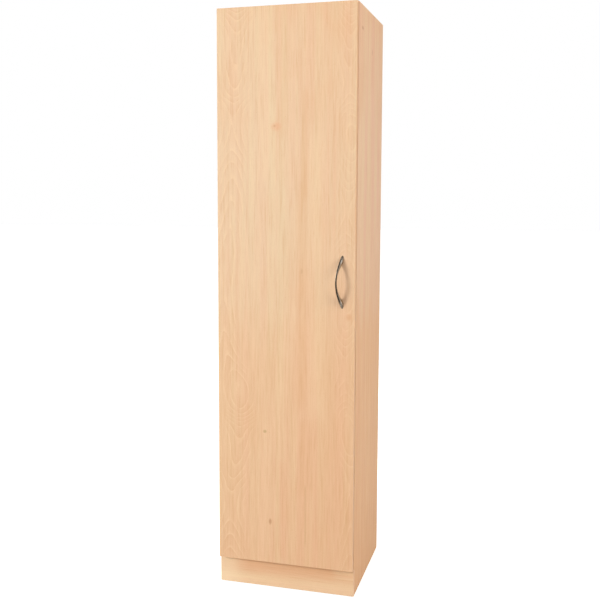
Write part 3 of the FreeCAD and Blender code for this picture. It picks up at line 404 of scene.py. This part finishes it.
def plated_metal(name, pale, dull, roughness, cell, relief, metallic=0.72, painted_highlights=()):
    """Plated or cast metal; cell is the size of its surface texture in millimetres and relief its depth.

    It gives the eye a grey metal whose gloss breaks up slightly along the texture. The fine grain of
    unpolished plating scatters part of the light, so its metallic share is under 1. The last argument
    holds the middles and half sizes of oval places, in width and height, painted bright as highlights.
    """
    material, tree, shader = surface(name, Metallic=metallic)
    vector, axes = millimetres(tree)
    noise = patches(tree, vector, {"wear": ((16, 16, 22), 2), "texture": (cell, 3)})
    shown = add(tree, "ValToRGB", {"Fac": noise["wear"]}, stops=[
        (0.35, colour(dull)), (0.65, colour(pale))])
    # Painted highlights: pale ovals laid over the metal's colour
    for middle, half_size in painted_highlights:
        part = spot(tree, axes["X"], axes["Z"], middle, half_size, 0.5)
        shown = tint(tree, shown, colour("#E4DBCE"), 0.9, part)
    gloss = add(tree, "MapRange", {
        "Value": noise["texture"], "From Min": 0.3, "From Max": 0.7,
        "To Min": roughness - 0.05, "To Max": roughness + 0.07,
    })
    bump = add(tree, "Bump", {"Height": noise["texture"], "Strength": 0.3, "Distance": relief * MM})
    feed(tree, shader, {"Base Color": shown, "Roughness": gloss, "Normal": bump})
    return material


def moulded_plastic(name, pale, dull, roughness, **values):
    """Injection-moulded plastic: one even colour with the faint orange peel of the mould."""
    material, tree, shader = surface(name, Roughness=roughness, **values)
    vector, _ = millimetres(tree)
    noise = patches(tree, vector, {"flow": ((9, 9, 9), 2), "peel": ((0.5, 0.5, 0.5), 2)})
    shown = add(tree, "ValToRGB", {"Fac": noise["flow"]}, stops=[
        (0.35, colour(dull)), (0.65, colour(pale))])
    bump = add(tree, "Bump", {"Height": noise["peel"], "Strength": 0.2, "Distance": 0.05 * MM})
    feed(tree, shader, {"Base Color": shown, "Normal": bump})
    return material


# Places and sizes from the cabinet's construction, in millimetres
DOOR_FRONT_Y, DOOR_BACK_Y = -234.75, -216.75
HINGE_HEIGHTS = (202, 843.375, 1337.625, 1979)
PLATE_SCREW_Y = -177.25
HANDLE_X, HANDLE_Z, HANDLE_HOLE_SPACING = 203, 1134, 160
# The handle's feet carry painted highlights: bright ovals at this height above and below its middle
HIGHLIGHT_PAINT_RISE, HIGHLIGHT_PAINT_HALF_SIZE = 76, (2.6, 9)

# The finishes
MATERIALS = {
    "door": beech_melamine("beech_melamine_door", "XZY", DOOR_LOT, DOOR_FIGURES, DOOR_STRIPES, DOOR_KNOTS),
    "left_side": beech_melamine("beech_melamine_left_side", "YZX", CARCASS_PRINT_WITH_PAINTED_TINT),
    "right_side": beech_melamine("beech_melamine_right_side", "YZX", CARCASS_PRINT_WITH_PAINTED_TINT, knots=SIDE_KNOTS),
    "shelf": beech_melamine("beech_melamine_shelf", "YXZ", CARCASS_PRINT_WITH_PAINTED_TINT),
    "rail": beech_melamine("beech_melamine_rail", "ZXY", CARCASS_PRINT_WITH_PAINTED_TINT),
    "plinth": beech_melamine("beech_melamine_plinth", "ZXY", DOOR_LOT, (), PLINTH_STRIPES, PLINTH_KNOTS),
    "band": edge_band("beech_edge_band", 234),
    "door_band": edge_band("beech_edge_band_door", 248),
    "hardboard": printed_hardboard(),
    "joint_strip": moulded_plastic("beige_pvc_strip", "#E2C39A", "#DDBB90", 0.5),
    "dowel": beech_melamine("raw_beech_dowel", "YZX", CARCASS_PRINT_WITH_PAINTED_TINT),
    "glide": moulded_plastic("white_polythene_glide", "#E9E6DE", "#DEDAD0", 0.45),
    "block": moulded_plastic("white_polypropylene_block", "#E9E6DE", "#DEDAD0", 0.42),
    "bumper": moulded_plastic(
        "clear_polyurethane_bumper", "#DFE0DC", "#D4D5D0", 0.22, Transmission_Weight=0.35),
    # Warm grey nickel, brushed along the bow, with painted highlights on the middles of its feet; part of
    # its warmth is a painted reflection of the wood round it
    "satin_nickel": plated_metal("satin_nickel", "#AC9D8B", "#9C8D7B", 0.24, (0.5, 0.5, 9), 0.01, 1, [
        ((HANDLE_X - 1, HANDLE_Z + side * HIGHLIGHT_PAINT_RISE), HIGHLIGHT_PAINT_HALF_SIZE) for side in (-1, 1)]),
    # Bright nickel on pressed steel: near-white, smooth and glossy
    "nickel": plated_metal("nickel_plated_steel", "#EFEDE8", "#E2DFD8", 0.3, (0.8, 4, 0.8), 0.0012),
    # Blue-white zinc passivate on small steel parts
    "zinc": plated_metal("zinc_plated_steel", "#DFE3E7", "#C9CDD1", 0.33, (0.7, 0.7, 0.7), 0.008),
    # Die-cast zinc with a fine orange-peel skin
    "die_cast": plated_metal("die_cast_zinc", "#D9D8D4", "#C5C4C0", 0.38, (0.6, 0.6, 0.6), 0.02),
    # Hardened bright steel
    "spring": plated_metal("spring_steel", "#B6B6B8", "#A2A2A4", 0.25, (0.4, 0.4, 3), 0.004),
}
FINISH = {
    "door_panel": "door", "door_edging": "door_band", "door_bumpers": "bumper",
    "side_panel_left": "left_side", "side_panel_right": "right_side",
    "top_panel": "shelf", "bottom_panel": "shelf", "fixed_shelf": "shelf",
    "rear_rail_top": "rail", "rear_rail_middle": "rail", "rear_rail_bottom": "rail",
    "plinth_rear_rail": "rail", "plinth_board": "plinth",
    "front_edging": "band", "shelf_edging": "band", "plinth_edging": "band",
    "back_panel_lower": "hardboard", "back_panel_upper": "hardboard", "back_joint_strip": "joint_strip",
    "dowels": "dowel", "foot_glides": "glide", "plinth_blocks": "block",
    "handle": "satin_nickel", "cam_locks": "die_cast", "cam_bolts": "zinc", "shelf_pins": "zinc",
    "wall_brackets": "zinc", "bracket_screws": "zinc", "plinth_screws": "zinc", "handle_screws": "zinc",
    "hinge_plate_screws": "zinc", "hinge_arm_screws": "zinc", "cup_screws": "zinc",
    "hinge_springs": "spring",
}
for number in range(1, 5):
    FINISH[f"adjustable_shelf_{number}"] = "shelf"
    FINISH[f"hinge_cup_{number}"] = "nickel"
    FINISH[f"hinge_arm_{number}"] = "nickel"
    FINISH[f"hinge_plate_{number}"] = "die_cast"
    FINISH[f"hinge_pin_{number}"] = "spring"
for name, node in NODES.items():
    for slot in node.material_slots:
        slot.material = MATERIALS[FINISH[name]]


# Edges that turn by more than this many degrees look sharp
SHARP_ANGLE = 32


def piece(name, mesh, body, slot, finish, *replaced):
    """A new piece that rides on a body in a finish and stands for CAD nodes; its slot is not used."""
    mesh.set_sharp_from_angle(angle=math.radians(SHARP_ANGLE))
    thing = bpy.data.objects.new(name, mesh)
    bpy.context.scene.collection.objects.link(thing)
    mesh.materials.append(MATERIALS[finish])
    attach(thing, body)
    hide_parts(*replaced)


def mesh_from(bm, name):
    """A mesh in metres from a shape drawn in millimetres, with sound outward normals."""
    same = 0.0005
    bmesh.ops.remove_doubles(bm, verts=bm.verts, dist=same)
    bmesh.ops.dissolve_degenerate(bm, edges=bm.edges, dist=same)
    bmesh.ops.recalc_face_normals(bm, faces=bm.faces)
    bmesh.ops.scale(bm, vec=(MM, MM, MM), verts=bm.verts)
    for face in bm.faces:
        face.smooth = True
    mesh = bpy.data.meshes.new(name)
    bm.to_mesh(mesh)
    bm.free()
    return mesh


def bow_handle():
    """The crescent bow: level ovals between two parabolas, leaning to one side, cut flat at the door."""
    bar, projection, lean, half_length = 3.25, 31, 15, 91.5
    oval_share = 0.95
    half_width, half_foot, foot_length = bar * oval_share, 7, 29
    out = projection - bar
    crown = math.hypot(out, lean)
    steep = half_length / (half_length - foot_length)
    away = Vector((-lean / crown, -out / crown, 0))
    aside = Vector((-away.y, away.x, 0))
    rows, around = 121, 48
    bm = bmesh.new()
    rings = []
    for row in range(rows):
        share = math.sin((row / (rows - 1) - 0.5) * math.pi)
        outer = (crown + bar) * (1 - share ** 2)
        inner = (crown - bar) * (1 - (steep * share) ** 2)
        middle, deep = (outer + inner) / 2, (outer - inner) / 2
        wide = half_width + (half_foot - half_width) * share ** 2
        centre = Vector((HANDLE_X, DOOR_FRONT_Y, HANDLE_Z + half_length * share)) + away * middle
        # The ring's angles in front of the door: away.y and aside.y turn the depth into an angle
        reach = math.hypot(deep * away.y, wide * aside.y)
        phase = math.atan2(wide * aside.y, deep * away.y)
        ahead = max(-1, min(1, (DOOR_FRONT_Y - centre.y) / reach))
        half_turn = math.pi - math.acos(ahead)
        start = phase + math.pi - half_turn
        ring = []
        for step in range(around + 1):
            angle = start + 2 * half_turn * step / around
            offset = away * (deep * math.cos(angle)) + aside * (wide * math.sin(angle))
            ring.append(bm.verts.new(centre + offset))
        rings.append(ring)
    for first, second in zip(rings, rings[1:]):
        for step in range(around):
            bm.faces.new((first[step], first[step + 1], second[step + 1], second[step]))
        bm.faces.new((first[around], first[0], second[0], second[around]))
    piece("bow_handle", mesh_from(bm, "bow_handle"), "door", "satin_nickel", "satin_nickel", "handle")


def cross_screw(bm, place, outward, head_radius, head_height, radius, length):
    """A pan-head screw with a cross recess and a thread; its head sits on a face at a place."""
    outward = Vector(outward)
    aside = outward.orthogonal().normalized()
    upright = outward.cross(aside)

    def at(reach, angle, height):
        across = aside * math.cos(angle) + upright * math.sin(angle)
        return bm.verts.new(Vector(place) + across * reach + outward * height)

    # The recess: four arms, whose corners lie at these angles from each arm
    arm, corner = 0.58 * head_radius, math.radians(16)
    half_arm = arm * math.tan(corner)
    quarter_degrees = [0, 16, 24, 34, 45, 56, 66, 74]
    angles = [math.radians(turn + step) for turn in (0, 90, 180, 270) for step in quarter_degrees]
    arms = []
    for angle in angles:
        swing = abs((angle + math.pi / 4) % (math.pi / 2) - math.pi / 4)
        arms.append(arm / math.cos(swing) if swing <= corner + 0.001 else half_arm / math.sin(swing))
    head_shares = [(0.4, 0), (0.97, 0), (1, 0.12), (1, 0.4), (0.95, 0.66), (0.84, 0.86), (0.7, 0.97)]
    rings = [
        [at(head_radius * share, angle, head_height * rise) for angle in angles]
        for share, rise in head_shares]
    for share, rise in ((1, 1), (0.93, 0.9), (0.72, 0.2)):
        rings.append([at(reach * share, angle, head_height * rise) for reach, angle in zip(arms, angles)])
    for first, second in zip(rings, rings[1:]):
        for step in range(len(angles)):
            after = (step + 1) % len(angles)
            bm.faces.new((first[step], first[after], second[after], second[step]))
    bm.faces.new(rings[-1])
    # The thread: one strip wound down the shank, on its crest and in its root by turns
    around, pitch, root_share = 16, radius * 0.7, 0.72
    strip = []
    count = int(2 * (length - radius) / pitch)
    for step in range(around * count):
        depth = step / around * pitch / 2
        tip = min(1, (length - depth) / (2 * radius))
        share = (1 if step // around % 2 else root_share) * tip
        strip.append(at(radius * share, 2 * math.pi * step / around, -depth))
    for step in range(around * (count - 1) - 1):
        bm.faces.new((strip[step], strip[step + 1], strip[step + 1 + around], strip[step + around]))
    point = at(0, 0, -length)
    for step in range(around * (count - 1), around * count - 1):
        bm.faces.new((strip[step], strip[step + 1], point))


def screws(node, body, places, **sizes):
    """The screws that stand for a node, each at a place and facing a way."""
    bm = bmesh.new()
    for place, outward in places:
        cross_screw(bm, place, outward, **sizes)
    name = f"cross_{node}"
    piece(name, mesh_from(bm, name), body, "zinc_plated_steel", "zinc", node)


def bumper_domes():
    """Soft domes stuck on the back of the door, which meet the carcass when it shuts."""
    bm = bmesh.new()
    around, x, top = 40, 242, 2.2
    profile = [(3.7, 0), (4, 0.25), (3.95, 0.7), (3.6, 1.2), (2.9, 1.65), (2, 1.97), (1, 2.15)]
    turns = [2 * math.pi * step / around for step in range(around)]
    for z in (162, 2019):
        rings = []
        for reach, rise in profile:
            rings.append([
                bm.verts.new((x + reach * math.cos(turn), DOOR_BACK_Y + rise, z + reach * math.sin(turn)))
                for turn in turns])
        for first, second in zip(rings, rings[1:]):
            for step in range(around):
                after = (step + 1) % around
                bm.faces.new((first[step], first[after], second[after], second[step]))
        bm.faces.new(rings[0])
        middle = bm.verts.new((x, DOOR_BACK_Y + top, z))
        for step in range(around):
            bm.faces.new((rings[-1][step], rings[-1][(step + 1) % around], middle))
    piece("bumper_domes", mesh_from(bm, "bumper_domes"), "door", "bumper_rubber", "bumper", "door_bumpers")


bow_handle()
bumper_domes()
screws("hinge_plate_screws", "carcass", [
    ((-232.4, PLATE_SCREW_Y, z + spread), (1, 0, 0)) for z in HINGE_HEIGHTS for spread in (-16, 16)],
    head_radius=4.2, head_height=1.4, radius=2.5, length=11.6)
screws("hinge_arm_screws", "carcass", [
    ((-226.4, y, z), (1, 0, 0)) for z in HINGE_HEIGHTS for y in (PLATE_SCREW_Y, -192.75)],
    head_radius=3.2, head_height=1.6, radius=1.6, length=6.2)
screws("cup_screws", "door", [
    ((-219, DOOR_BACK_Y + 1, z + spread), (0, 1, 0)) for z in HINGE_HEIGHTS for spread in (-22.5, 22.5)],
    head_radius=3.6, head_height=1.2, radius=1.75, length=12)
screws("handle_screws", "door", [
    ((HANDLE_X, DOOR_BACK_Y, HANDLE_Z + side * HANDLE_HOLE_SPACING / 2), (0, 1, 0)) for side in (-1, 1)],
    head_radius=4.5, head_height=1.8, radius=2, length=23)
screws("bracket_screws", "carcass", [
    ((x, 223.55, 2062), (0, 0, -1)) for x in (-190, 190)],
    head_radius=3.9, head_height=1.5, radius=1.9, length=13)
screws("plinth_screws", "carcass", [
    *(((x, -178.25, 40.5), (0, 1, 0)) for x in (-224, 224)),
    *(((side * 214, -188.25, 62.5), (-side, 0, 0)) for side in (-1, 1))],
    head_radius=3.9, head_height=1.5, radius=1.9, length=31)

# Floor, background and light
scene = bpy.context.scene
scene.view_settings.view_transform = "Standard"
STUDIO_DARK = colour("#2C1F17")


def seen_directly(tree):
    """1 for rays from the camera, from a reflection or through glass."""
    path = add(tree, "LightPath")
    seen = path.outputs["Is Camera Ray"]
    for other in ("Is Glossy Ray", "Is Transmission Ray"):
        seen = add(tree, "Math", {0: seen, 1: path.outputs[other]}, operation="MAXIMUM").outputs[0]
    return seen


def in_reflections(tree, value):
    """The value for rays from a reflection, and 1 for all others."""
    mirrored = add(tree, "LightPath").outputs["Is Glossy Ray"]
    return add(tree, "Mix", {0: mirrored, 2: 1, 3: value}).outputs[0]


world = bpy.data.worlds.new("white_studio")
scene.world = world
world.use_nodes = True
tree = world.node_tree
tree.nodes.clear()
# White where it is seen, and a soft light of less strength on what it lights
strength = add(tree, "MapRange", {"Value": seen_directly(tree), "To Min": 0.40, "To Max": 1})
# The studio is dark behind the camera, which only reflections show
ray = add(tree, "SeparateXYZ", {0: add(tree, "TexCoord").outputs["Generated"]})
lit = add(tree, "MapRange", {"Value": ray.outputs["Y"], "From Min": -0.60, "From Max": -0.30})
shown = tint(tree, STUDIO_DARK, colour("#FFFFFF"), 1, in_reflections(tree, lit))
# A tall light panel stands on its left, which only reflections show
panel = add(tree, "MapRange", {
    "Value": ray.outputs["X"], "From Min": -0.75, "From Max": -0.9, "To Min": 1, "To Max": 6,
})
strength = add(tree, "Math", {0: strength, 1: in_reflections(tree, panel)}, operation="MULTIPLY")
background = add(tree, "Background", {"Color": shown, "Strength": strength})
add(tree, "OutputWorld", {"Surface": background})

floor_material, tree, shader = surface("white_floor", Roughness=0.9)
# It ends in the dark behind the camera, which only reflections show
place = add(tree, "SeparateXYZ", {0: add(tree, "NewGeometry").outputs["Position"]})
lit = add(tree, "MapRange", {"Value": place.outputs["Y"], "From Min": -1.0, "From Max": -0.2})
lit = in_reflections(tree, lit)
shown = tint(tree, STUDIO_DARK, colour("#F4F4F4"), 1, lit)
shade = tint(tree, colour("#D0D0D0"), shown, 1, seen_directly(tree))
feed(tree, shader, {"Base Color": shade})
# A glow lifts it to the background's white and leaves it the cabinet's shadow
glow = add(tree, "Math", {0: seen_directly(tree), 1: 0.68}, operation="MULTIPLY")
glow = add(tree, "Math", {0: glow, 1: lit}, operation="MULTIPLY")
glow = add(tree, "Emission", {"Color": colour("#FFFFFF"), "Strength": glow})
together = add(tree, "AddShader", {0: shader, 1: glow})
feed(tree, tree.nodes["Material Output"], {"Surface": together})
bm = bmesh.new()
bmesh.ops.create_grid(bm, x_segments=1, y_segments=1, size=30)
floor_mesh = bpy.data.meshes.new("floor")
bm.to_mesh(floor_mesh)
bm.free()
floor = bpy.data.objects.new("floor", floor_mesh)
floor_mesh.materials.append(floor_material)
scene.collection.objects.link(floor)


def softbox(name, place, aim, size, power, tone="#FFFFFF", mirrored=False):
    """A square lamp, its size in metres and its power in watts, at a place and turned to an aim.

    Reflections show the studio without it, unless it is mirrored.
    """
    lamp = bpy.data.lights.new(name, "AREA")
    lamp.size = size
    lamp.energy = power
    lamp.color = colour(tone)[:3]
    thing = bpy.data.objects.new(name, lamp)
    thing.visible_glossy = mirrored
    thing.location = place
    thing.rotation_euler = (Vector(aim) - Vector(place)).to_track_quat("-Z", "Y").to_euler()
    scene.collection.objects.link(thing)


softbox("key_softbox", (-6.0, -4.85, 2.85), (0, -0.25, 1.1), 1.8, 458)
softbox("front_fill", (-1.1, -3.7, 2.5), (0, -0.25, 1.8), 1.6, 5, mirrored=True)
softbox("back_fill", (-1.2, 3.8, 2.2), (0, 0.2, 1.1), 2.0, 40)
softbox("top_fill", (0.2, 0.2, 4.6), (0, 0, 2), 2.0, 18, mirrored=True)
softbox("right_fill", (3.2, -1.4, 2.3), (0.25, 0, 1.5), 2.0, 60, "#FFEEE0")

# Camera, from a fit of the cabinet's corners in the photograph, which is 600 pixels square:
# angles in radians, focal length and picture centre in pixels
PICTURE = 600
yaw, pitch, roll = -0.29615, 0.10264, 0.00075
focal, centre_u, centre_v = 915.521, 262, 284
camera_place = (0.85536, -3.08004 + DOOR_FRONT_Y * MM, 1.4516)
ahead = Vector((math.sin(yaw) * math.cos(pitch), math.cos(yaw) * math.cos(pitch), -math.sin(pitch)))
level = Vector((math.cos(yaw), -math.sin(yaw), 0))
below = ahead.cross(level)
right = level * math.cos(roll) + below * math.sin(roll)
down = below * math.cos(roll) - level * math.sin(roll)
camera = bpy.data.objects.new("camera", bpy.data.cameras.new("camera"))
scene.collection.objects.link(camera)
turn = Matrix((right, -down, -ahead)).transposed().to_4x4()
camera.matrix_world = Matrix.Translation(camera_place) @ turn
camera.data.sensor_width = 36
camera.data.lens = focal / PICTURE * camera.data.sensor_width
camera.data.shift_x = (PICTURE / 2 - centre_u) / PICTURE
camera.data.shift_y = (centre_v - PICTURE / 2) / PICTURE
scene.camera = camera
